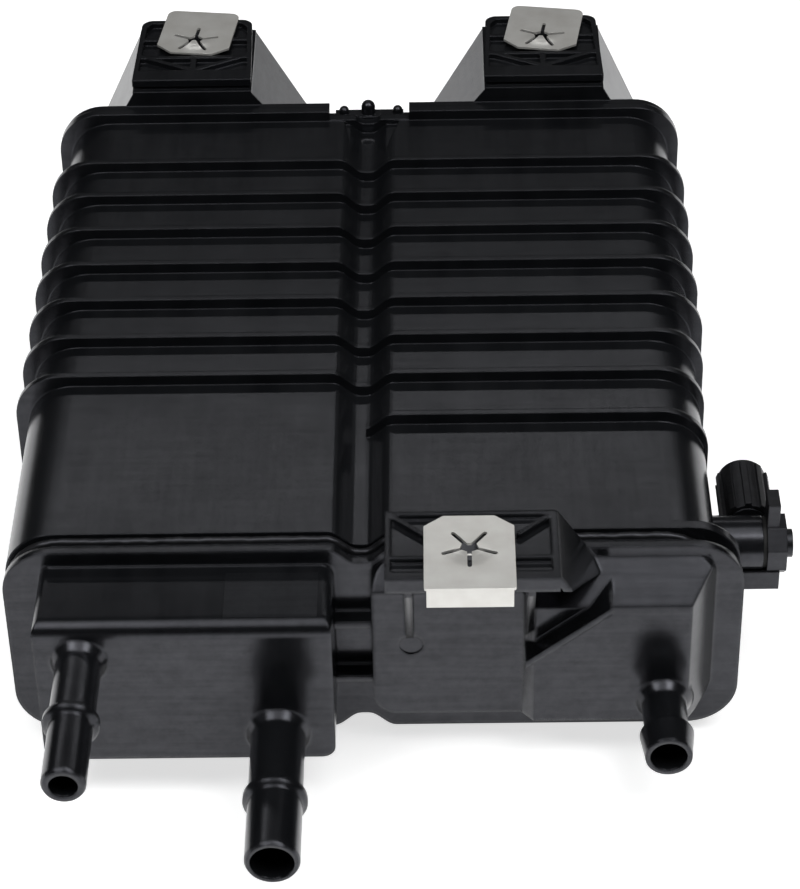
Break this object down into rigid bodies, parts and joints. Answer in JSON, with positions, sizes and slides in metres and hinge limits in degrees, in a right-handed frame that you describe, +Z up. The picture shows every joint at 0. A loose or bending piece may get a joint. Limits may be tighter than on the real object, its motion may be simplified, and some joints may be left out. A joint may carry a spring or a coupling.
{
  "type": "charcoal canister",
  "caption": "Flat ribbed black plastic canister of activated carbon that holds fuel vapour, with front ports, stud brackets on top and a capped side branch.",
  "frame": {"origin": "midway between the two rear studs, on the upper face of their pads", "axes": "+X to the right across the two chambers, seen from the ports; +Y along the canister, from the ports to the rear brackets; +Z up, the way the studs leave their clips"},
  "size_m": [0.2357, 0.3615, 0.0866],
  "materials": {
    "shell_plastic": "moulded black polyamide with a soft gloss",
    "carbon": "packed black carbon pellets, very dull",
    "foam": "open-cell foam",
    "plate_plastic": "moulded black plastic",
    "spring_steel": "drawn spring wire",
    "clip_steel": "bright zinc-plated spring sheet",
    "seal_rubber": "moulded rubber",
    "fitting_plastic": "moulded black plastic, duller than the shell"
  },
  "bodies": {
    "root": {"housing": "shell_plastic", "front_cover": "shell_plastic", "rear_cover": "shell_plastic", "carbon_left": "carbon", "carbon_right": "carbon", "front_foam_left": "foam", "front_foam_right": "foam", "rear_foam_left": "foam", "rear_foam_right": "foam", "grid_left": "plate_plastic", "grid_right": "plate_plastic", "pressure_plate_left": "plate_plastic", "pressure_plate_right": "plate_plastic", "spring_left_inner": "spring_steel", "spring_left_outer": "spring_steel", "spring_right_inner": "spring_steel", "spring_right_outer": "spring_steel", "stud_clips": "clip_steel", "branch_seal": "seal_rubber", "branch_fitting": "fitting_plastic", "branch_cap": "fitting_plastic"}
  },
  "joints": []
}
